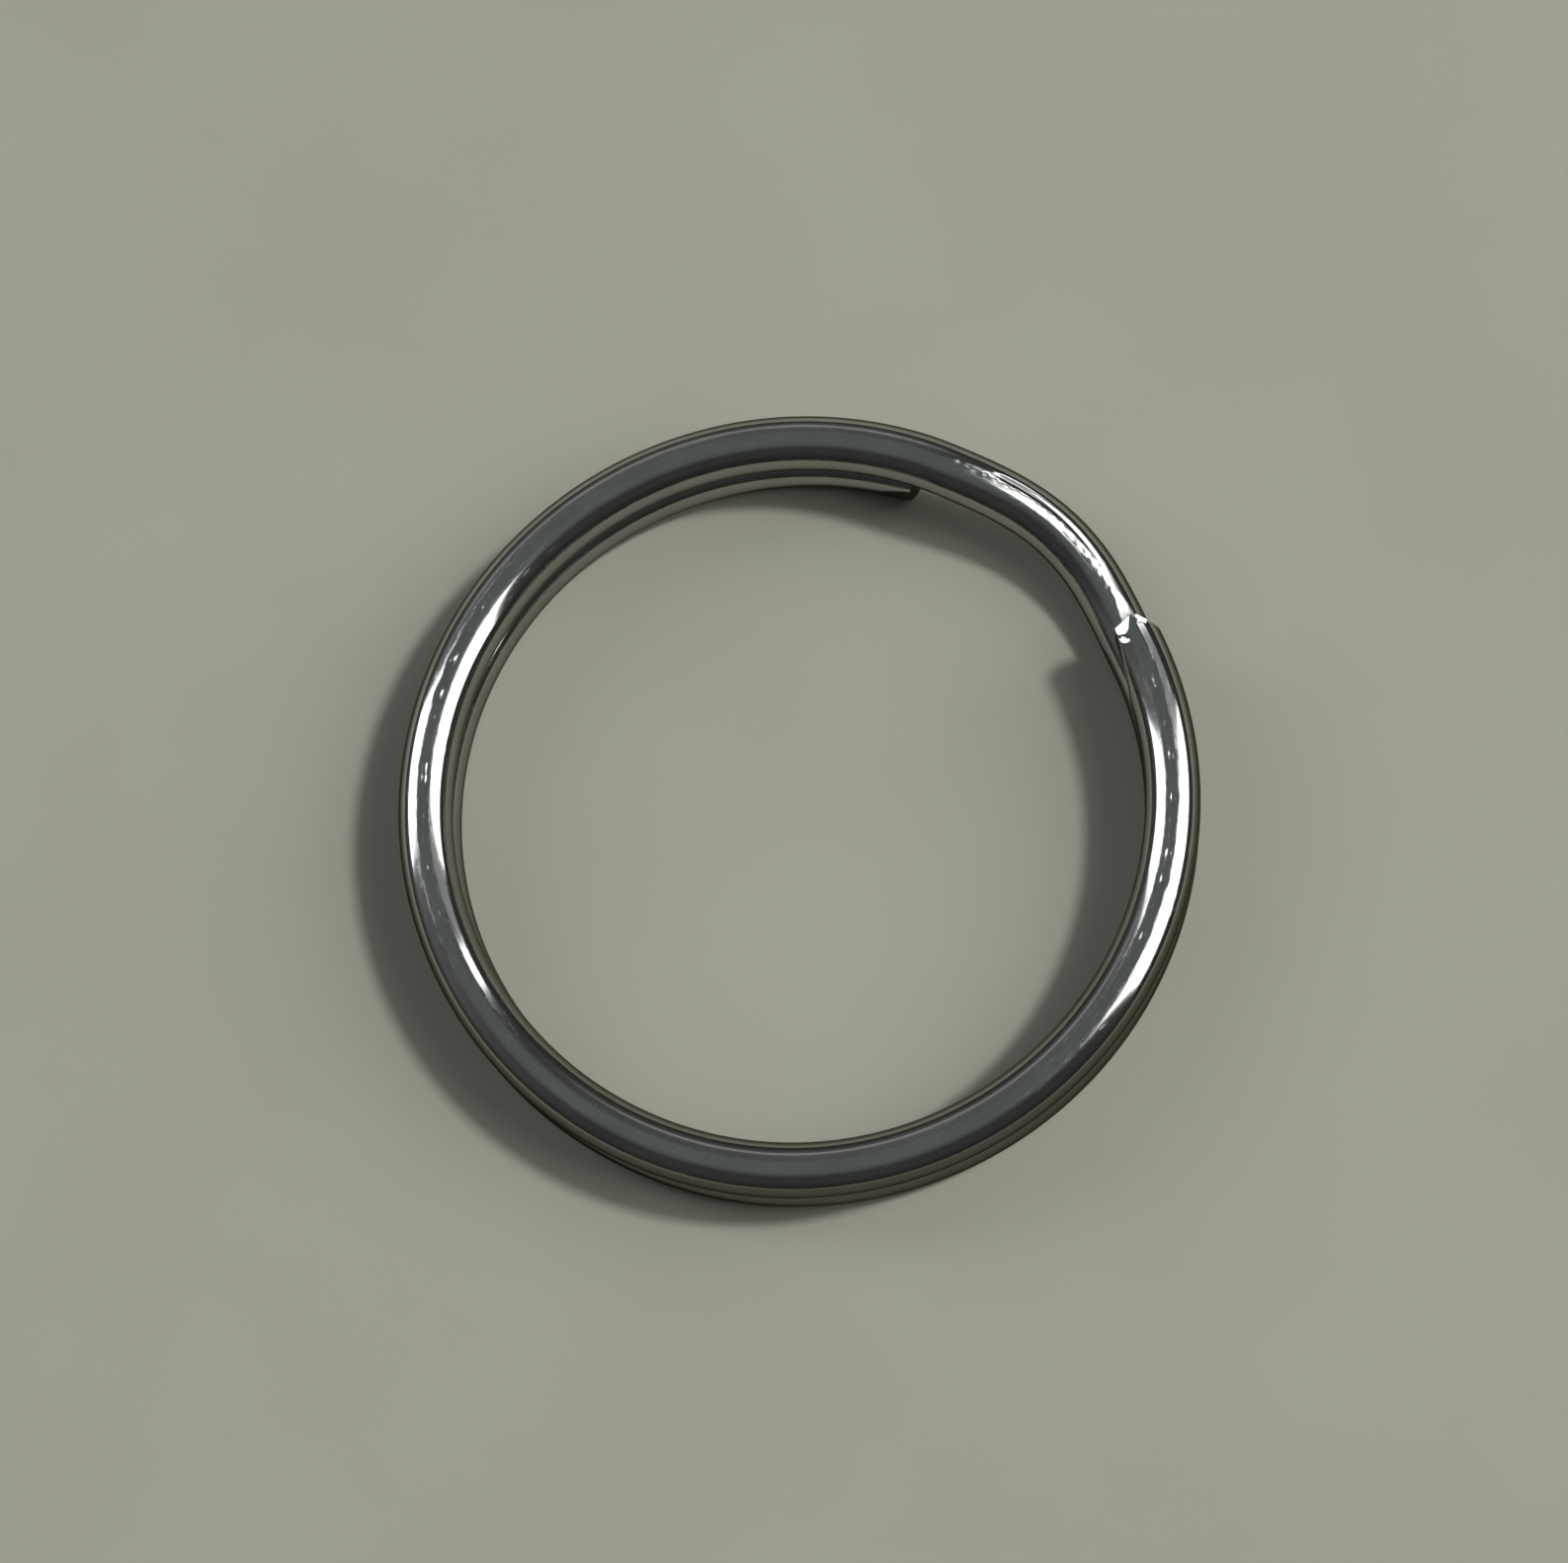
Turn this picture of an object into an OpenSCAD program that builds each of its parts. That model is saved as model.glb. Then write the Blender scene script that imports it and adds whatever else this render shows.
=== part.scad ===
// Split key ring: one length of round spring wire, wound close in two flat turns that lie
// one on the other. The upper turn comes down to the lower through a short step, which
// stands between the two nipped ends of the wire.

/* [Ring] */
// Outside diameter of the ring
outer_d = 30; // [20:0.5:40]
// Diameter of the wire
wire_d = 2.05; // [1.5:0.05:2.5]
// Clearance between the upper turn and the lower
turn_gap = 0.05; // [0.03:0.01:0.2]
// Width of the flat rubbed along the wire's crown and its underside
flat_w = 0.26; // [0.1:0.02:0.5]

/* [Step] */
// Angle from +X to the upper turn's free end
upper_end = 28.2; // [0:0.1:90]
// Angle between the two free ends, where the wire comes down alone
split_angle = 42.6; // [30:0.1:60]
// How far the step bows out of the circle
bow = 0.43; // [0.05:0.01:0.7]
// Angle from the upper free end to the widest place of the bow
bow_at = 17.8; // [10:0.1:22]
// Angle over which the bow fades out, on each side of its widest place
bow_reach = 22; // [14:1:28]

/* [Nipped ends] */
// Distance of the nip's ridge outward from the rubbed flat
ridge_out = 0.15; // [0.05:0.01:0.4]
// How far the nip is set back at the outer side of the ring
nip_outer = 0.9; // [0.1:0.05:1.1]
// How far the nip is set back at the inner side of the ring
nip_inner = 0.25; // [0.1:0.05:0.8]
// Slope of the facet that the nip leaves on top of the upper free end
facet_slope = 24; // [10:1:40]
// Way that facet falls, turned inward from the way the tip points
facet_turn = 58; // [40:1:80]
// Length of the taper on the inner side of the upper free end
upper_taper_l = 3; // [1.5:0.1:5]
// Depth of that taper at the tip
upper_taper_d = 0.5; // [0.1:0.05:0.6]
// Length of the taper on the inner side of the lower free end
lower_taper_l = 1.5; // [1.2:0.1:5]
// Depth of that taper at the tip
lower_taper_d = 0.2; // [0.05:0.05:0.6]

/* [Hidden] */

// Straight edges that draw each round side of the wire's section
side_edges = 10;
// Travel in degrees from section to section, on the level turns and on the step
level_step = 5;
bend_step = 2.6;
// Sections that lead from the nipped face to the first square one, and their travel in degrees
tip_sections = 5;
tip_travel = 5.5;
// Travel in degrees to look each way for the direction of the wire
look = 0.05;

wire_r = wire_d / 2;
// Half the height of the section, from one rubbed flat to the other
half_h = sqrt(pow(wire_r, 2) - pow(flat_w / 2, 2));
// Distance of the wire's middle from the axis, and its rise from the lower turn to the upper
coil_r = outer_d / 2 - wire_r;
pitch = 2 * half_h + turn_gap;
// Distance of the nip's ridge outward from the wire's middle
ridge_x = flat_w / 2 + ridge_out;
// Travel in degrees round the axis: where the step starts, where the bend ends, the whole wire
step_start = 360 - split_angle;
bend_end = 360 + max(bow_reach - bow_at, 0);
whole = step_start + 360;

// Degrees of travel that a length along the wire takes, and the other way round
function travel(length) = length / coil_r * 180 / PI;
function run(degrees) = degrees * PI / 180 * coil_r;

// Smooth rise from 0 to 1 while x goes from 0 to 1
function ease(x) = let (t = min(max(x, 0), 1)) t * t * (3 - 2 * t);

// The wire's section, x out of the ring and y up: the outer round side from the foot of the
// nip's ridge to its head, the flat on top, the inner round side, and the flat below
ridge_angle = acos(ridge_x / wire_r);
flat_angle = acos(flat_w / wire_d);
function on_round(a) = wire_r * [cos(a), sin(a)];
section = [
    for (i = [0 : side_edges]) on_round(ridge_angle * (2 * i / side_edges - 1)),
    on_round(flat_angle),
    for (i = [0 : side_edges]) on_round(180 + flat_angle * (2 * i / side_edges - 1)),
    on_round(-flat_angle)
];
corners = len(section);

// The wire's middle after t degrees of travel, clockwise from the upper free end
function bow_here(t) = bow * (1 + cos(180 * min(abs(t - 360 + bow_at) / bow_reach, 1))) / 2;
function height(t) = half_h + pitch * (1 - ease((t - step_start) / split_angle));
function middle(t) =
    let (a = upper_end - t, r = coil_r + bow_here(t))
    [r * cos(a), r * sin(a), height(t)];

// Where a section stands: its middle, its outward direction and its upward one
function unit(v) = v / norm(v);
function stand(t) =
    let (
        along = unit(middle(t + look) - middle(t - look)),
        up = unit([0, 0, 1] - along * along[2])
    )
    [middle(t), cross(up, along), up];

// Depth of the inner taper, which grows evenly towards each tip
function taper(t) = max(
    upper_taper_d * (1 - t / travel(upper_taper_l)),
    lower_taper_d * (1 - (whole - t) / travel(lower_taper_l)),
    0
);

// Setback in degrees of the nipped face, at a distance x outward from the wire's middle
function setback(x) = travel(
    x > ridge_x
        ? nip_outer * (x - ridge_x) / (wire_r - ridge_x)
        : nip_inner * (ridge_x - x) / (wire_r + ridge_x)
);

// Height of the upper tip's facet over the wire's middle: it starts at the outer edge of the
// flat on top, where the nipped face meets it, and falls forward and inward
function facet(t, x) =
    half_h - tan(facet_slope) * ((flat_w / 2 - x) * sin(facet_turn) - run(t) * cos(facet_turn));

// One corner of the section at t, cut by the taper and the facet; a nip of 1 moves it back
// to the upper tip's nipped face, and one of -1 forward to the lower tip's
function corner(t, p, nip = 0) =
    let (
        x = max(p[0], taper(t) - wire_r),
        t2 = t + nip * setback(x),
        s = stand(t2)
    )
    s[0] + x * s[1] + min(p[1], facet(t2, x)) * s[2];
function ring(t, nip = 0) = [for (p = section) corner(t, p, nip)];

// Sections near a tip, from the nipped face inward for nip 1 and -1
function tip_rings(tip, nip) = [
    for (i = [0 : tip_sections - 1])
        let (w = i / tip_sections)
        ring(tip + sign(nip) * w * tip_travel, nip * (1 - w))
];

// Even places from a up to b, without b
function places(a, b, step) =
    let (n = ceil((b - a) / step))
    [for (i = [0 : n - 1]) a + (b - a) * i / n];

// The wire, swept from tip to tip as one closed skin
module wire() {
    stops = concat(
        places(tip_travel, step_start, level_step),
        places(step_start, bend_end, bend_step),
        places(bend_end, whole - tip_travel, level_step),
        [whole - tip_travel]
    );
    lower_tip = tip_rings(whole, -1);
    rings = concat(
        tip_rings(0, 1),
        [for (t = stops) ring(t)],
        [for (i = [1 : tip_sections]) lower_tip[tip_sections - i]]
    );
    last = len(rings) - 1;
    ridges = [corner(0, [ridge_x, 0]), corner(whole, [ridge_x, 0])];
    points = concat([for (r = rings) each r], ridges);
    ridge = len(points) - 2;
    skin = [
        for (k = [0 : last - 1], j = [0 : corners - 1])
            let (
                a = k * corners + j,
                b = k * corners + (j + 1) % corners
            )
            each [[a, b, b + corners], [a, b + corners, a + corners]]
    ];
    nipped_faces = [
        for (j = [0 : corners - 1])
            let (j2 = (j + 1) % corners)
            each [
                [ridge, j2, j],
                [ridge + 1, last * corners + j, last * corners + j2]
            ]
    ];
    polyhedron(points, concat(skin, nipped_faces));
}

module split_ring() {
    color("silver") wire();
}

split_ring();
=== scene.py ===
# %% [markdown]
# # A split key ring in bright nickel
# A split ring is one length of round spring steel, wound about two turns and then plated. It
# is a small thing that is all curve and reflection, so nearly everything that the eye reads
# as "key ring" comes from the lie of the wire, the two nipped tips, and what the plating
# shows of the room. The lesson builds the wire first, then its finish, then the room.

# %% Load the frame
import math

import bmesh
import bpy
import numpy as np
from mathutils import Matrix, Vector


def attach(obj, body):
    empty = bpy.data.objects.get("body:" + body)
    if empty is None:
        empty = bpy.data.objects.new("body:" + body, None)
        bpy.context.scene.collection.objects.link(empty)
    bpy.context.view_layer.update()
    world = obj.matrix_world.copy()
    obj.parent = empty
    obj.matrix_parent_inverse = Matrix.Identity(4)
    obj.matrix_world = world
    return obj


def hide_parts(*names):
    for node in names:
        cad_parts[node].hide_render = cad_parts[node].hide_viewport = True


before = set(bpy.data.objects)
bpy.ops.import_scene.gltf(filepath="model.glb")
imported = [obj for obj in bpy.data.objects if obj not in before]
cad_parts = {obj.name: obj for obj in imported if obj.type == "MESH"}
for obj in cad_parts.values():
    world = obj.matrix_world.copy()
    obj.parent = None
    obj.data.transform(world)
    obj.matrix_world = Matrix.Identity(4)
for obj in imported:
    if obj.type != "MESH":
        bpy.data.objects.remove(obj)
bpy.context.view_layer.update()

MM = 0.001

# %% [markdown]
# ## The camera
# The camera looks steeply down on the ring, 15 degrees off the vertical. It is placed before
# anything else, so that every later step can be looked at from the same place. Its matrix is
# built from three directions rather than with a track-to constraint, because the picture is
# also turned a little about the line of sight.

# %% Place the camera
IMAGE_W = 1587
ELEVATION = math.radians(75)
TURN = math.radians(18.4)
DISTANCE = 150
AIM = Vector((-0.570, 0.938, 2.0))
PIXELS_PER_MM = 26.89
SENSOR = 36
CLIP_START = 5

look = Matrix.Rotation(TURN, 3, "Z") @ Vector((0, math.cos(ELEVATION), -math.sin(ELEVATION)))
level = look.cross(Vector((0, 0, 1))).normalized()
upright = level.cross(look)
across = level * math.cos(TURN) - upright * math.sin(TURN)
above = level * math.sin(TURN) + upright * math.cos(TURN)

camera = bpy.data.objects.new("camera", bpy.data.cameras.new("camera"))
bpy.context.collection.objects.link(camera)
place = Matrix((across, above, -look)).transposed().to_4x4()
place.translation = (AIM - look * DISTANCE) * MM
camera.matrix_world = place
camera.data.sensor_width = SENSOR
camera.data.lens = PIXELS_PER_MM * DISTANCE / IMAGE_W * SENSOR
camera.data.clip_start = CLIP_START * MM
bpy.context.scene.camera = camera
camera_at = [round(c / MM, 1) for c in place.translation]
print("lens %.1f mm, camera at %s mm" % (camera.data.lens, camera_at))

# %% [markdown]
# ## The lie of the wire
# The wire could be two torus rings, but a real split ring is one wire, and it shows where the
# upper turn comes down to the lower. So its middle line is worked out by a rule, with travel
# in degrees from the upper tip, clockwise: level, then a smooth step down that bows out a
# little, then level again. The sizes are those of the solid, in millimetres.

# %% The middle line
OUTER_D = 30
WIRE_R = 2.05 / 2
FLAT_W = 0.26
TURN_GAP = 0.05
UPPER_END = 28.2
SPLIT = 42.6
BOW, BOW_AT, BOW_REACH = 0.43, 17.8, 22

HALF_H = math.sqrt(WIRE_R ** 2 - (FLAT_W / 2) ** 2)
COIL_R = OUTER_D / 2 - WIRE_R
PITCH = 2 * HALF_H + TURN_GAP
STEP_START = 360 - SPLIT
WHOLE = STEP_START + 360
NEARBY = 0.05


def ease(x):
    x = np.clip(x, 0, 1)
    return x * x * (3 - 2 * x)


def middle(travel):
    near_bow = np.minimum(np.abs(travel - 360 + BOW_AT) / BOW_REACH, 1)
    radius = COIL_R + BOW * (1 + np.cos(np.pi * near_bow)) / 2
    angle = np.radians(UPPER_END - travel)
    rise = HALF_H + PITCH * (1 - ease((travel - STEP_START) / SPLIT))
    return np.stack([radius * np.cos(angle), radius * np.sin(angle), rise], -1)


def unit(v):
    return v / np.linalg.norm(v, axis=-1, keepdims=True)


def stand(travel):
    """Middle, outward and upward direction, and the way along, for each travel."""
    along = unit(middle(travel + NEARBY) - middle(travel - NEARBY))
    up = unit(np.array([0, 0, 1]) - along * along[:, 2:])
    return middle(travel), np.cross(up, along), up, along


mm_per_degree = math.radians(COIL_R)
print("wire %.1f mm long, turns %.2f mm apart" % (WHOLE * mm_per_degree, PITCH))

# %% [markdown]
# ## The wire's section
# Drawn wire is round, but keys wear a narrow flat along the crown of the ring, and the desk
# wears one below. The section therefore has two round sides and two flats. The corners stand
# closer together in the top flat and beside it, because the small dents come there.

# %% The section
SIDE_EDGES = 30
CROWN_EDGES = 8
SOLE_EDGES = 4
CROWDING = 0.6

round_half = math.acos(FLAT_W / 2 / WIRE_R)


def round_side():
    """The outer side, from the bottom up, with the corners closer together near the top."""
    share = np.linspace(0, 1, SIDE_EDGES + 1)
    a = round_half * (2 * ((1 + CROWDING) * share - CROWDING * share ** 2) - 1)
    return np.stack([WIRE_R * np.cos(a), WIRE_R * np.sin(a)], -1)


def flat(start, y, edges):
    x = np.linspace(start, -start, edges + 1)[1:-1]
    return np.stack([x, np.full_like(x, y)], -1)


outer_side = round_side()
section = np.concatenate([
    outer_side, flat(FLAT_W / 2, HALF_H, CROWN_EDGES),
    outer_side[::-1] * (-1, 1), flat(-FLAT_W / 2, -HALF_H, SOLE_EDGES),
])
print("corners in the section:", len(section))

# %% [markdown]
# ## Wear on the crown
# Every key that slid round the ring left its mark. A few knocks are deep, most are faint, and
# all of them sit along the crown. Where the wire steps down and keys are forced on, there is a
# string of shallow scallops with a worn groove beside it. All of it is pressed into the mesh
# itself, so that it catches the light from any side. The knocks are placed by their angle round
# the ring, in degrees, and the rest by travel. How large each one is gets drawn at random.

# %% Where the dents are
rng = np.random.default_rng(11)
DEEP_DENTS = [358.5, 5.1, 16.8, 157.9, 163.6, 175.1, 177.2, 313.3, 336.6, 345.9, 349.9]
FAINT_DENTS = [
    355, 10.3, 22.7, 117.6, 139.8, 148.6, 152.7, 167.3, 179.3, 182.9, 187.1, 191.2, 198.5, 203.6,
    220.8, 257.5, 264.9, 288, 300.4, 322.7, 343.0, 352.9]

# Of each kind: the place across, its stray, and the ranges of half length, half width and depth.
DEEP = (0, 0.03, (0.24, 0.32), (0.10, 0.13), (0.034, 0.046))
FAINT = (0, 0.04, (0.14, 0.26), (0.07, 0.10), (0.014, 0.026))
SCALLOP = (0.14, 0.03, (0.10, 0.17), (0.07, 0.11), (0.008, 0.016))

SCALLOPS_FROM, SCALLOPS_TO = STEP_START + 6, 359
SCALLOP_PITCH, PITCH_LEAST, PITCH_MOST = 0.42, 0.7, 1.4
GROOVE_X, GROOVE_W, GROOVE_DEPTH = 0.34, 0.11, 0.055
GROOVE_FROM, GROOVE_TO = 327, 353
GROOVE_RISE, GROOVE_FADE = 4, 12


def dent(travel, kind):
    """The travel of one dent, its place across, its half length and width, and its depth."""
    across, stray, length, width, depth = kind
    return (
        travel, rng.normal(across, stray),
        rng.uniform(*length), rng.uniform(*width), rng.uniform(*depth))


dents = [dent((UPPER_END - angle) % 360, DEEP) for angle in DEEP_DENTS]
dents += [dent((UPPER_END - angle) % 360, FAINT) for angle in FAINT_DENTS]
travel = SCALLOPS_FROM
while travel < SCALLOPS_TO:
    dents.append(dent(travel, SCALLOP))
    travel += rng.uniform(PITCH_LEAST, PITCH_MOST) * SCALLOP_PITCH / mm_per_degree
dents = np.array(dents)


def pressed(travel, x):
    """How deep the dents go at each travel, for a corner at x out from the middle."""
    depth = np.zeros_like(travel)
    for at, side, length, width, deep in dents:
        off = (travel - at) * mm_per_degree
        depth += deep * np.exp(-(off / length) ** 2 - ((x - side) / width) ** 2)
    ends = ease((travel - GROOVE_FROM) / GROOVE_RISE) * ease((GROOVE_TO - travel) / GROOVE_FADE)
    return depth + GROOVE_DEPTH * ends * np.exp(-((x - GROOVE_X) / GROOVE_W) ** 2)


print("dents:", len(dents))

# %% [markdown]
# ## The worn wedge, the burr and the jaw print
# Three marks sit right at the upper tip. The keys have rubbed the step flat where it dives
# under the tip, in a wedge that leans outward. The cutter has left a burr along the outer edge
# of the nip, and its jaw a small print behind the facet. All three are planes: the wedge and
# the print take away what stands above theirs, and the burr fills up to its own. The print lies
# as the facet does, so the facet's slope is given here, and which way it faces.

# %% The wedge, the burr and the print
WEDGE_L, WEDGE_PAST = 1.7, 1.0
WEDGE_DIP, WEDGE_LEAN = math.radians(2.6), math.radians(16)
BURR_OUT, BURR_BACK, BURR_TURN = 0.47, 0.28, math.radians(50)
BURR_LONG, BURR_WIDE, BURR_STANDS = 0.28, 0.16, 0.05
BURR_LEAN, BURR_FALL = 0.32, 0.30
FACET_SLOPE, FACET_TURN = math.radians(24), math.radians(58)
PRINT_OUT, PRINT_BACK, PRINT_TURN = -0.43, 0.78, math.radians(75)
PRINT_LONG, PRINT_WIDE, PRINT_DEEP = 0.27, 0.12, 0.03


def round_top(x):
    """How high the round wire stands at x out from the middle."""
    return math.sqrt(WIRE_R ** 2 - x ** 2)


def worn(travel, x, top):
    """Lowers the step to the wedge's plane, which dips towards the tip and ends just past it."""
    before = (360 - travel) * mm_per_degree
    run = np.minimum(WEDGE_L - before, WEDGE_L * (1 + before / WEDGE_PAST))
    dip = run * math.tan(WEDGE_DIP)
    plane = (WIRE_R - x * math.sin(WEDGE_LEAN)) / math.cos(WEDGE_LEAN) - dip
    return np.where(dip > 0, np.minimum(top, plane), top)


def in_oval(out, back, turn, long, wide):
    """Which points lie in an oval, turned from the outward way towards the back."""
    length = out * math.cos(turn) + back * math.sin(turn)
    width = back * math.cos(turn) - out * math.sin(turn)
    return (length / long) ** 2 + (width / wide) ** 2 < 1


def burred(travel, x, top):
    """Raises an oval at the outer edge of the upper nip to the burr's plane."""
    out, back = x - BURR_OUT, travel * mm_per_degree - BURR_BACK
    plane = round_top(BURR_OUT) + BURR_STANDS - BURR_LEAN * out - BURR_FALL * back
    there = in_oval(out, back, BURR_TURN, BURR_LONG, BURR_WIDE)
    return np.where(there, np.maximum(top, plane), top)


def printed(travel, x, top):
    """Presses an oval behind the facet down to a plane that lies as the facet does."""
    out, back = x - PRINT_OUT, travel * mm_per_degree - PRINT_BACK
    rise_out = math.tan(FACET_SLOPE) * math.sin(FACET_TURN)
    rise_back = math.tan(FACET_SLOPE) * math.cos(FACET_TURN)
    plane = round_top(PRINT_OUT) - PRINT_DEEP + rise_out * out + rise_back * back
    there = in_oval(out, back, PRINT_TURN, PRINT_LONG, PRINT_WIDE)
    return np.where(there, np.minimum(top, plane), top)


# %% [markdown]
# ## The slim ends
# The inner side of each end is ground away a little over the last few millimetres, so that a
# thumbnail or a key can get in between the turns. The taper only shifts the inner corners of
# the section outward, so it can be worked out for any place along the wire.

# %% The taper
UPPER_TAPER_L, UPPER_TAPER_D = 3.0, 0.5
LOWER_TAPER_L, LOWER_TAPER_D = 1.5, 0.2


def taper(travel):
    """How deep the inner side is ground away at each travel."""
    upper = UPPER_TAPER_D * (1 - travel * mm_per_degree / UPPER_TAPER_L)
    lower = LOWER_TAPER_D * (1 - (WHOLE - travel) * mm_per_degree / LOWER_TAPER_L)
    return np.maximum(np.maximum(upper, lower), 0)


print("depth at the tips: %.2f and %.2f mm" % tuple(taper(np.array([0, WHOLE]))))

# %% [markdown]
# ## Sweeping the wire
# The section is carried along the middle line and joined up by quads. Its stations, in degrees
# of travel, stand closer together around the dents, the upper tip and the wedge, and run a
# little past both ends, where the tips are cut later. A curve with a bevel would also give a
# wire, but not the flats, the dents or the control over the tips. Each point also keeps where
# it was on the straight wire before it was wound, in an attribute called rod, because the
# finish was drawn along the straight wire.

# %% Sweep the wire
OVERRUN = 3
STATION_STEP = 1
DENT_STEP, DENT_SPAN = 0.2, 1
TIP_STEP, TIP_SPAN = 0.13, (-1, 5)
WEDGE_STEP, WEDGE_SPAN = 0.25, (353, 366)
CLOSEST = 0.11

stations = [np.arange(-OVERRUN, WHOLE + OVERRUN, STATION_STEP)]
for at in dents[:, 0]:
    stations.append(np.arange(at - DENT_SPAN, at + DENT_SPAN, DENT_STEP))
stations += [np.arange(*TIP_SPAN, TIP_STEP), np.arange(*WEDGE_SPAN, WEDGE_STEP)]
stations = np.unique(np.round(np.concatenate(stations), 2))
kept = [stations[0]]
for travel in stations[1:]:
    if travel - kept[-1] > CLOSEST:
        kept.append(travel)
stations = np.array(kept)

centre, outward, upward, _ = stand(stations)
ground = taper(stations) - WIRE_R
points = []
rod = []
for x, y in section:
    out = np.maximum(x, ground)
    top = np.full_like(stations, y)
    if y > 0:
        top = worn(stations, out, top - pressed(stations, x))
        top = printed(stations, out, burred(stations, out, top))
    points.append(centre + out[:, None] * outward + top[:, None] * upward)
    rod.append(np.stack([stations * mm_per_degree, out, np.full_like(stations, y)], -1))
points = np.stack(points, 1)
rod = np.stack(rod, 1)

rings, corners = points.shape[:2]
ring_start = np.arange(rings - 1)[:, None] * corners
corner = np.arange(corners)[None, :]
here = ring_start + corner
beside = ring_start + (corner + 1) % corners
skin = np.stack([here, beside, beside + corners, here + corners], -1).reshape(-1, 4).tolist()
skin.append(list(range(corners))[::-1])
skin.append([(rings - 1) * corners + j for j in range(corners)])

mesh = bpy.data.meshes.new("split_ring_wire")
mesh.from_pydata(points.reshape(-1, 3) * MM, [], skin)
mesh.attributes.new("rod", "FLOAT_VECTOR", "POINT").data.foreach_set("vector", (rod * MM).ravel())
mesh.polygons.foreach_set("use_smooth", [True] * len(mesh.polygons))
print("stations %d, faces %d" % (rings, len(mesh.polygons)))

# %% [markdown]
# ## The nipped tips
# The wire is cut off by two hardened jaws, which leave a chisel end: two steep faces that
# meet in an upright ridge. The jaw also presses a small facet into the top of the upper tip.
# Each face is a plane that cuts the end of the mesh, and the cut is closed by one flat face.
# That keeps the edges crisp, which a smoothed end can't. The sizes say where the ridge stands
# and how far back each face runs from it.

# %% Cut the tips
RIDGE_X, NIP_OUTER, NIP_INNER = FLAT_W / 2 + 0.15, 0.9, 0.25
TIP_REACH = 2.5
CUT_SLACK = 1e-9


def cut(bm, near, point, normal):
    """Cuts off what lies beyond a plane, near one tip only, and closes the cut."""
    layer = bm.verts.layers.float_vector["rod"]
    verts = [v for v in bm.verts if near(v[layer].x / MM)]
    inside = set(verts)
    faces = [f for f in bm.faces if all(v in inside for v in f.verts)]
    edges = {e for f in faces for e in f.edges}
    made = bmesh.ops.bisect_plane(
        bm, geom=verts + list(edges) + faces, dist=CUT_SLACK,
        plane_co=point * MM, plane_no=normal, clear_outer=True)
    rim = [e for e in made["geom_cut"] if isinstance(e, bmesh.types.BMEdge) and e.is_boundary]
    closed = bmesh.ops.holes_fill(bm, edges=rim, sides=0)["faces"]
    for face in closed:
        face.smooth = False
        for edge in face.edges:
            edge.smooth = False
    return closed


def tip_planes(tip, sense, facet):
    """The planes of one tip, as points and normals that face off the wire."""
    at, out, up, along = (Vector(v[0].tolist()) for v in stand(np.array([float(tip)])))
    ahead = -sense * along
    ridge = at + out * RIDGE_X
    outer = ahead * (WIRE_R - RIDGE_X) + out * NIP_OUTER
    inner = ahead * (WIRE_R + RIDGE_X) - out * NIP_INNER
    planes = [(ridge, outer.normalized()), (ridge, inner.normalized())]
    if facet:
        fall = ahead * math.cos(FACET_TURN) - out * math.sin(FACET_TURN)
        head = at + out * FLAT_W / 2 + up * HALF_H
        planes.append((head, up * math.cos(FACET_SLOPE) + fall * math.sin(FACET_SLOPE)))
    return planes


wire_l = WHOLE * mm_per_degree
bm = bmesh.new()
bm.from_mesh(mesh)
for point, normal in tip_planes(0, 1, True):
    print("upper tip:", len(cut(bm, lambda s: s < TIP_REACH, point, normal)), "face")
for point, normal in tip_planes(WHOLE, -1, False):
    print("lower tip:", len(cut(bm, lambda s: s > wire_l - TIP_REACH, point, normal)), "face")
bmesh.ops.recalc_face_normals(bm, faces=bm.faces)
open_edges = sum(1 for e in bm.edges if not e.is_manifold)
bm.to_mesh(mesh)
bm.free()
print("faces %d, open edges %d" % (len(mesh.polygons), open_edges))

# %% Put the wire in place
ring = bpy.data.objects.new("split_ring_wire", mesh)
bpy.context.collection.objects.link(ring)
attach(ring, "root")
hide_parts("split_ring")

# %% [markdown]
# ## Shader sums as plain Python
# A finish is arithmetic on a few patterns, and arithmetic reads best as arithmetic. Val wraps
# one output socket so that + - and * add the Math nodes by themselves, and Bench makes every
# other node from its type, its settings and what goes into its sockets.

# %% Val and Bench
class Val:
    """One output socket, with sums that add Math nodes."""

    def __init__(self, bench, socket):
        self.bench, self.socket = bench, socket

    def sum(self, operation, first, second):
        return self.bench.add("ShaderNodeMath", {"operation": operation}, {0: first, 1: second})

    def __add__(self, other): return self.sum("ADD", self, other)
    def __radd__(self, other): return self.sum("ADD", other, self)
    def __sub__(self, other): return self.sum("SUBTRACT", self, other)
    def __rsub__(self, other): return self.sum("SUBTRACT", other, self)
    def __mul__(self, other): return self.sum("MULTIPLY", self, other)

    def between(self, low, high):
        """0 below low, 1 above high, and smooth in between."""
        return self.bench.add(
            "ShaderNodeMapRange", {"interpolation_type": "SMOOTHSTEP"},
            {"Value": self, "From Min": low, "From Max": high})


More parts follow.
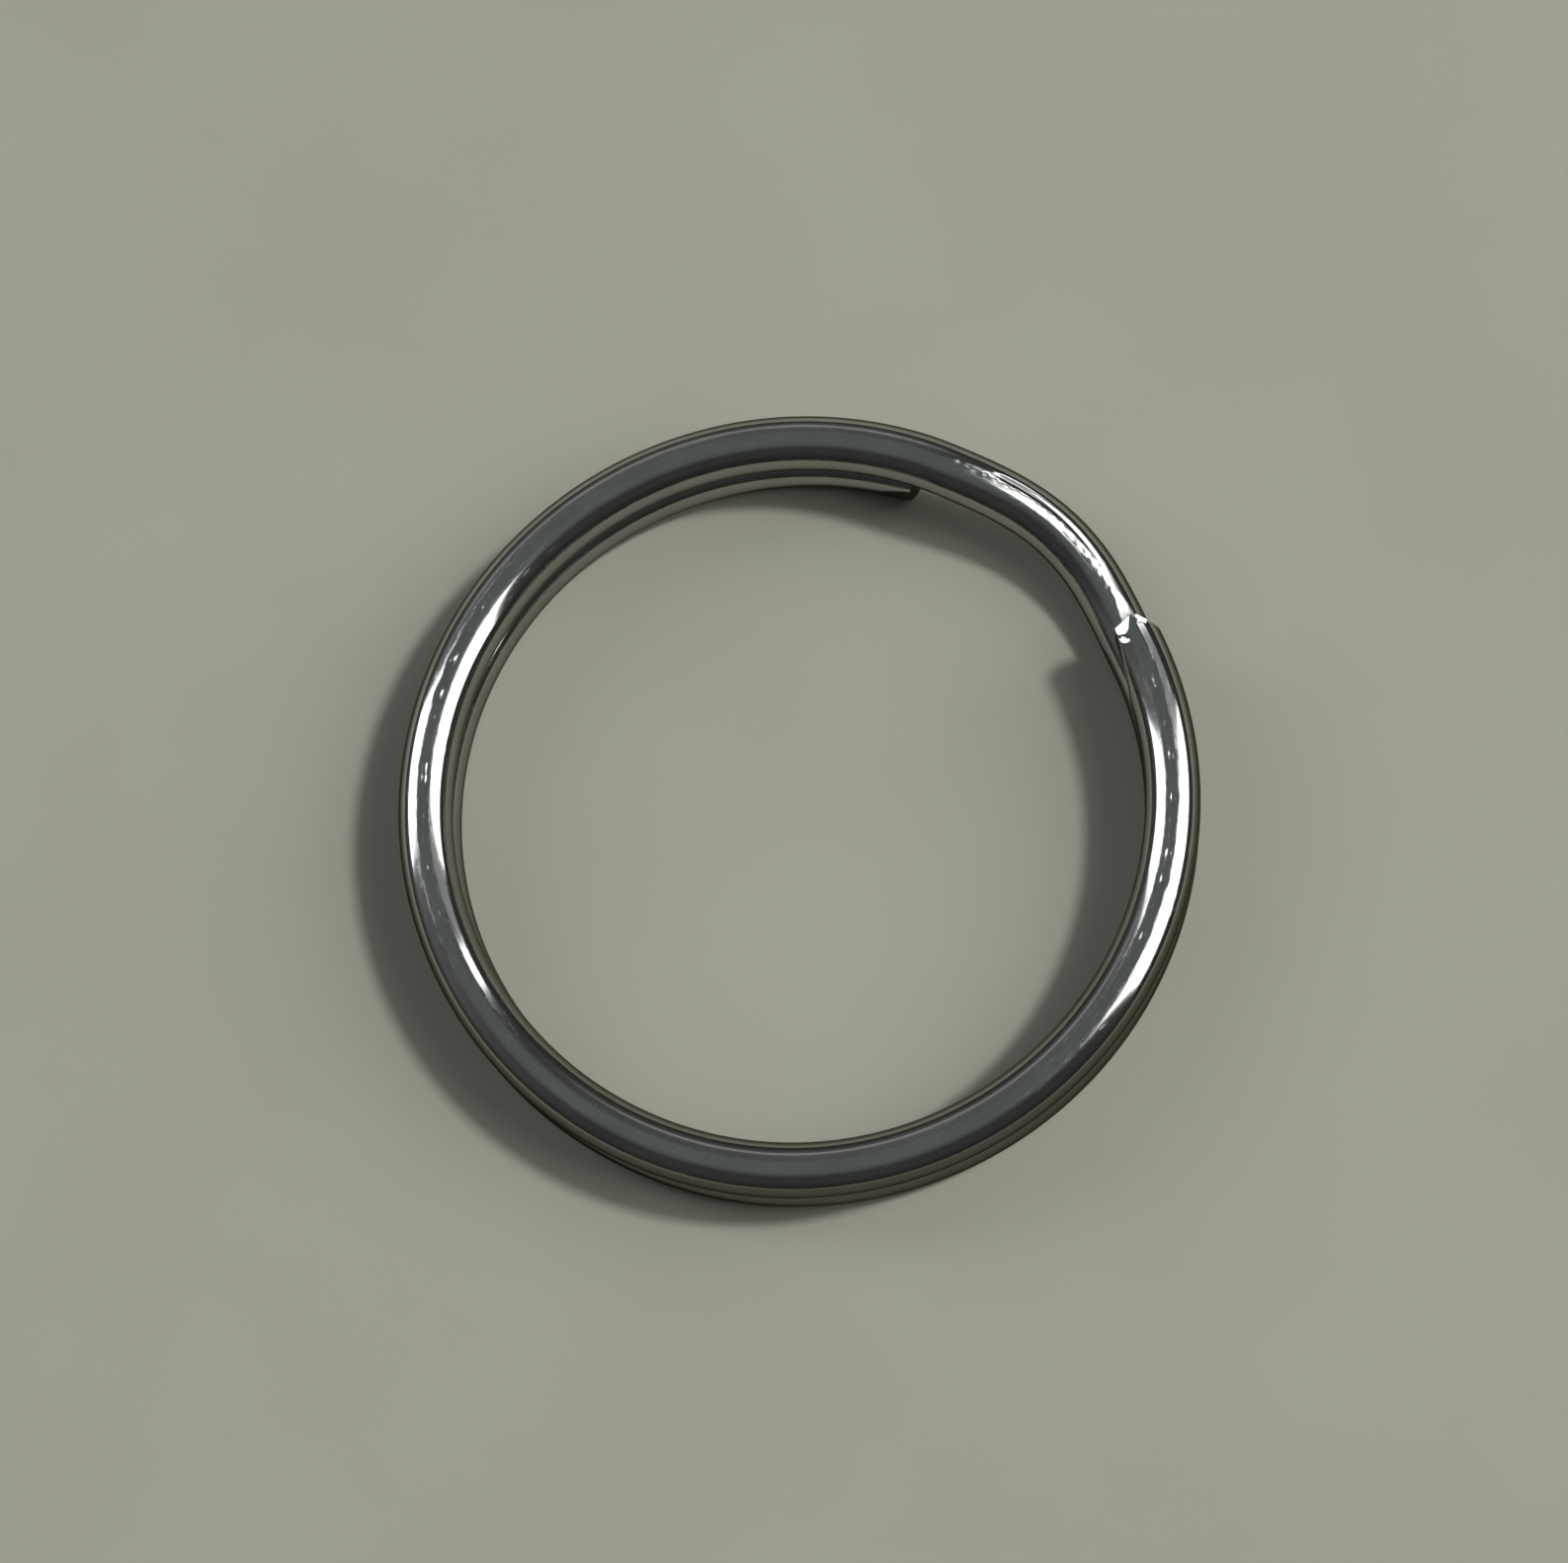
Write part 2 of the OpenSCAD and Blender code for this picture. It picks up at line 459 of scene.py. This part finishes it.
class Bench:
    """Makes the nodes of one material or world."""

    def __init__(self, owner):
        owner.use_nodes = True
        self.tree = owner.node_tree
        self.tree.nodes.clear()

    def add(self, kind, settings=None, sockets=None, out=0):
        node = self.tree.nodes.new(kind)
        for name, value in (settings or {}).items():
            setattr(node, name, value)
        for key, value in (sockets or {}).items():
            if isinstance(value, Val):
                self.tree.links.new(value.socket, node.inputs[key])
            else:
                node.inputs[key].default_value = value
        return Val(self, node.outputs[out]) if node.outputs else None

    def mix(self, share, first, second):
        """A colour between two colours."""
        return self.add(
            "ShaderNodeMix", {"data_type": "RGBA"},
            {"Factor": share, 6: first, 7: second}, out=2)

    def stretch(self, vector, scale):
        return self.add("ShaderNodeVectorMath", {"operation": "MULTIPLY"}, {0: vector, 1: scale})

    def parts(self, vector):
        """The three parts of a vector."""
        first = self.add("ShaderNodeSeparateXYZ", {}, {0: vector})
        return [Val(self, socket) for socket in first.socket.node.outputs]


# %% [markdown]
# ## Bright nickel
# Nickel plate is a warm grey mirror. What makes it look real is what spoils the mirror: fine
# lines drawn along the wire by the die, haze from handling, a duller crown where the keys
# rub and hairline scratches. The lower flanks are also darkened by painted shade, which stands
# in for their dark reflections and is darkest at the front, towards the camera, and outside.
# The marks are read in the rod attribute, which runs along the straight wire, so the lines
# follow the wire round the ring and down the step; the painted shade's front part is read in
# the object's own coordinates. The two lists of shares near the end say how rough and how
# high each of these marks is.

# %% The nickel
PLATE_DARK, PLATE_PALE = (0.55, 0.55, 0.535, 1), (0.62, 0.62, 0.605, 1)
PLATE_RUBBED = (0.50, 0.50, 0.49, 1)
# The colour of the painted shade that darkens the lower flanks, in place of their dark reflections.
PAINTED_SHADE = (0.17, 0.16, 0.14, 1)
RIM_TINT = (0.30, 0.29, 0.26, 1)

nickel = bpy.data.materials.new("bright_nickel")
bench = Bench(nickel)
rod_at = bench.add("ShaderNodeAttribute", {"attribute_name": "rod"}, out=1)
along_wire, out_of_wire, height_of_wire = bench.parts(rod_at)
to_the_back = bench.parts(bench.add("ShaderNodeTexCoord", out=3))[1]


def pattern(per_mm, detail=2.0, rough=0.5, warp=0.0):
    """Noise on the straight wire: per_mm is how finely it varies along, across and up."""
    spot = bench.stretch(rod_at, [n / MM for n in per_mm])
    return bench.add(
        "ShaderNodeTexNoise", {},
        {"Vector": spot, "Scale": 1.0, "Detail": detail, "Roughness": rough, "Distortion": warp})


def height_between(low, high):
    """0 below low and 1 above high, both as shares of the wire's half height."""
    return height_of_wire.between(low * HALF_H * MM, high * HALF_H * MM)


# %% Lines, haze and rubbing
UNRUBBED_TO, RUBBED_FROM = 0.6, 2.0

drawn = pattern((0.25, 14, 14), detail=3)
haze = pattern((0.35, 0.7, 0.7), detail=4, rough=0.6)
grain = pattern((9, 9, 9))
hairs = pattern((1.2, 9, 9), detail=1, warp=1.2).between(0.66, 0.72)
crown = height_between(0.93, 0.995) * along_wire.between(UNRUBBED_TO * MM, RUBBED_FROM * MM)
rub = crown * pattern((2.2, 12, 12), detail=3).between(0.40, 0.62)
lines = crown * pattern((0.5, 22, 22), detail=1)

# %% The painted shade on the flanks
FRONT_AT, BACK_AT = -14, 4
OUTER_AT = 0.5
SHADE_ALL, SHADE_FRONT, SHADE_OUTER = 0.55, 0.25, 0.35

# Painted shade: the lower flanks are darkened, most at the front towards the camera and on the outer
# side.
front = 1 - to_the_back.between(FRONT_AT * MM, BACK_AT * MM)
flank = 1 - height_between(0.50, 0.84)
outer = out_of_wire.between(0, OUTER_AT * MM)
painted_shade = flank * (SHADE_ALL + front * SHADE_FRONT + outer * SHADE_OUTER)

# %% Put the nickel together
RUB_SHOWS = 0.5
CLEAN_ROUGH, HAZE_ROUGH, RUB_ROUGH, HAIR_ROUGH = 0.075, 0.05, 0.12, 0.10
DRAWN_HIGH, GRAIN_HIGH, HAIR_HIGH, RUB_HIGH, LINE_HIGH = 0.35, 0.10, 0.30, 0.8, 1.5
BUMP_STRENGTH, BUMP_HIGH = 0.35, 0.003

tone = bench.mix(haze.between(0.35, 0.65), PLATE_DARK, PLATE_PALE)
tone = bench.mix(rub * RUB_SHOWS, tone, PLATE_RUBBED)
# Mixes the painted shade into the colour of the flanks.
tone = bench.mix(painted_shade, tone, PAINTED_SHADE)
roughness = CLEAN_ROUGH + haze * HAZE_ROUGH + rub * RUB_ROUGH + hairs * HAIR_ROUGH
relief = drawn * DRAWN_HIGH + grain * GRAIN_HIGH + hairs * HAIR_HIGH
relief = relief + rub * RUB_HIGH + lines * LINE_HIGH
bump = bench.add(
    "ShaderNodeBump", {},
    {"Strength": BUMP_STRENGTH, "Distance": BUMP_HIGH * MM, "Height": relief})
metal = bench.add(
    "ShaderNodeBsdfPrincipled", {},
    {"Base Color": tone, "Metallic": 1.0, "Roughness": roughness, "Normal": bump,
     "Specular Tint": RIM_TINT})
bench.add("ShaderNodeOutputMaterial", {}, {"Surface": metal})
mesh.materials.append(nickel)
print("nodes in the nickel:", len(bench.tree.nodes))

# %% [markdown]
# ## The floor
# The ring lies on a plain pale table top. The floor is metres wide, so that its far edge stays
# out of all but the lowest views. It has only the faintest unevenness, so that the ring keeps
# the eye.

# %% The floor
FLOOR_SIZE = 6
TABLE_DARK, TABLE_PALE = (0.375, 0.365, 0.305, 1), (0.395, 0.385, 0.325, 1)
TABLE_ROUGH = 0.75

floor_mesh = bpy.data.meshes.new("floor")
half = FLOOR_SIZE / 2
rim = [(-half, -half, 0), (half, -half, 0), (half, half, 0), (-half, half, 0)]
floor_mesh.from_pydata(rim, [], [(0, 1, 2, 3)])
floor = bpy.data.objects.new("floor", floor_mesh)
bpy.context.collection.objects.link(floor)

pale = bpy.data.materials.new("pale_table")
bench = Bench(pale)
spot = bench.add("ShaderNodeTexCoord", out=3)
cloud = bench.add("ShaderNodeTexNoise", {}, {"Vector": spot, "Scale": 60.0, "Detail": 4.0})
colour = bench.mix(cloud.between(0.3, 0.7), TABLE_DARK, TABLE_PALE)
surface = bench.add(
    "ShaderNodeBsdfPrincipled", {}, {"Base Color": colour, "Roughness": TABLE_ROUGH})
bench.add("ShaderNodeOutputMaterial", {}, {"Surface": surface})
floor_mesh.materials.append(pale)

# %% [markdown]
# ## The light
# A mirror shows the lamps themselves, so the lamps are drawn by what the ring should show. Two
# large upright windows, one on each side, are reflected as long white bands along the left and
# the right of the ring. A narrow window and a pale piece of wall beside the right one give the
# short gleams near the tip. The rest of the room is dim: a dark skirting, walls that grow paler
# towards one corner, a pale rail along the far wall and a grey ceiling for the crown's tone.
# The lamps stay out of the camera's own sight, because their place is in the reflection, and
# the high lamp that draws the shadows stays out of the reflection.

# %% Windows
REACH = 0.4
WINDOW_GLOW, WALL_GLOW = 2.1, 0.22
WARM, COOL = (1.0, 0.99, 0.96), (0.95, 0.98, 1.0)
GLOW_SHARE = 4


def window(name, azimuth, wide, top, foot, glow, tint, lean=0):
    """An upright lamp, REACH metres off; angles in degrees, top and foot from straight up.

    Its glow is how bright it looks. An area lamp spreads its power over four times its area.
    """
    head, sill = (REACH / math.tan(math.radians(a)) for a in (top, foot))
    lamp = bpy.data.lights.new(name, "AREA")
    lamp.shape = "RECTANGLE"
    lamp.size = 2 * REACH * math.tan(math.radians(wide / 2))
    lamp.size_y = head - sill
    lamp.energy = glow * GLOW_SHARE * lamp.size * lamp.size_y
    lamp.color = tint
    holder = bpy.data.objects.new(name, lamp)
    bpy.context.collection.objects.link(holder)
    holder.matrix_world = (
        Matrix.Translation((0, 0, (head + sill) / 2))
        @ Matrix.Rotation(math.radians(azimuth + 90), 4, "Z")
        @ Matrix.Rotation(math.radians(90), 4, "X")
        @ Matrix.Translation((0, 0, REACH))
        @ Matrix.Rotation(math.radians(lean), 4, "Z"))
    holder.visible_camera = False


window("east_window", azimuth=4, wide=48, top=24, foot=69, glow=WINDOW_GLOW, tint=WARM)
window("west_window", azimuth=157, wide=23, top=34, foot=71, glow=WINDOW_GLOW, tint=COOL, lean=15)
window("pale_wall", azimuth=33, wide=20, top=27, foot=63, glow=WALL_GLOW, tint=COOL)
window("narrow_window", azimuth=48.8, wide=7, top=38, foot=62, glow=WINDOW_GLOW, tint=COOL, lean=-10)

# %% The lamp that draws the shadows
SUN_POWER = 1.6
SUN_SPREAD, SUN_TILT, SUN_TURN = (math.radians(a) for a in (7, 35, 105))

sun = bpy.data.lights.new("high_lamp", "SUN")
sun.energy = SUN_POWER
sun.angle = SUN_SPREAD
high_lamp = bpy.data.objects.new("high_lamp", sun)
bpy.context.collection.objects.link(high_lamp)
high_lamp.rotation_euler = (SUN_TILT, 0, SUN_TURN)
high_lamp.visible_glossy = False

# %% The room
SKIRTING = (0.035, 0.033, 0.028, 1)
WALL_DIM, WALL_PALE = (0.045, 0.047, 0.046, 1), (0.135, 0.140, 0.135, 1)
CEILING = (0.124, 0.143, 0.138, 1)
RAIL = (0.29, 0.31, 0.30, 1)

# Where each part of the room begins and is whole, from 0 at the floor to 1 straight up.
WALL_UP, CEILING_UP = (0.02, 0.5), (0.75, 0.97)
RAIL_FOOT, RAIL_HEAD = (0.38, 0.44), (0.52, 0.58)

room = bpy.data.worlds.new("room")
bpy.context.scene.world = room
bench = Bench(room)
east_part, far_part, up_part = bench.parts(bench.add("ShaderNodeTexCoord", out=0))


def facing(far, west, low, high):
    """0 to 1 for how well a direction agrees with the one that far and west give."""
    return (far_part * far - east_part * west).between(low, high)


walls = bench.mix(facing(far=0.65, west=0.75, low=0.0, high=0.8), WALL_DIM, WALL_PALE)
air = bench.mix(up_part.between(*WALL_UP), SKIRTING, walls)
air = bench.mix(up_part.between(*CEILING_UP), air, CEILING)
along_rail = facing(far=0.95, west=0.31, low=0.62, high=0.80)
rail = along_rail * up_part.between(*RAIL_FOOT) * (1 - up_part.between(*RAIL_HEAD))
air = bench.mix(rail, air, RAIL)
back = bench.add("ShaderNodeBackground", {}, {"Color": air, "Strength": 1.0})
bench.add("ShaderNodeOutputWorld", {}, {"Surface": back})
bpy.context.scene.view_settings.view_transform = "Standard"
